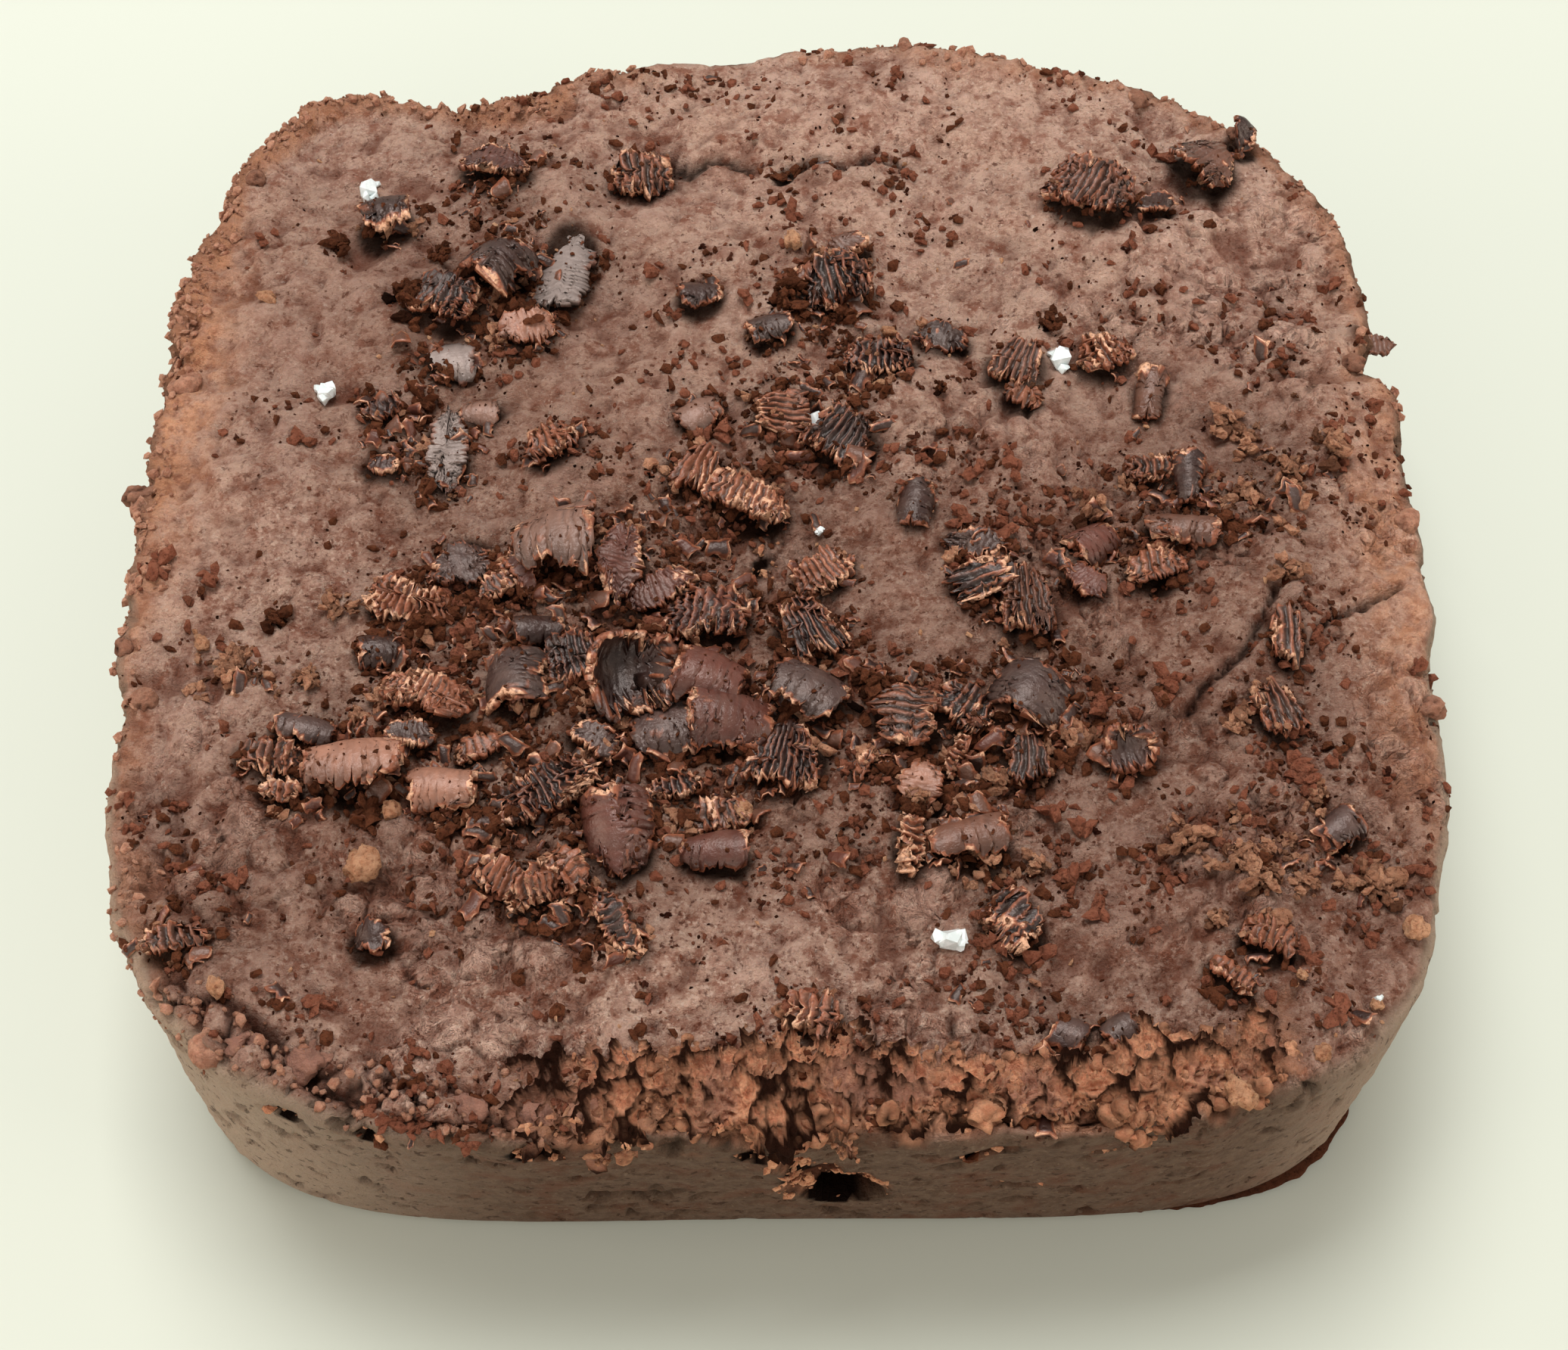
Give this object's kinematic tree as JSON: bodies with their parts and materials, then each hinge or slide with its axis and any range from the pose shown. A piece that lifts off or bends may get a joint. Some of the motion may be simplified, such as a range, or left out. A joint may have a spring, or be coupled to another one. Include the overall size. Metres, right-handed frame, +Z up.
{
  "type": "chocolate fudge piece",
  "caption": "Moulded rounded-square block of chocolate fudge, topped with chocolate shavings, crumbs and coarse salt, with a crumbly front lip.",
  "frame": {"origin": "middle of the flat base, on the surface that the fudge rests on", "axes": "+Z up through the topping, -Y towards the crumbly front lip, +X to the right seen from the front"},
  "size_m": [0.0443, 0.0443, 0.0117],
  "materials": {
    "fudge": "soft matte chocolate fudge, fine grained, greyer on the moulded wall",
    "grated_chocolate": "dark chocolate shavings, smooth and greyish where the blade ran, tan where torn; on the shavings that the visual model adds",
    "golden_crumb": "dry golden brown crumb of the broken front lip and the stray crumbs",
    "salt": "clear to white coarse salt crystals"
  },
  "bodies": {
    "root": {"fudge": "fudge"}
  },
  "joints": []
}
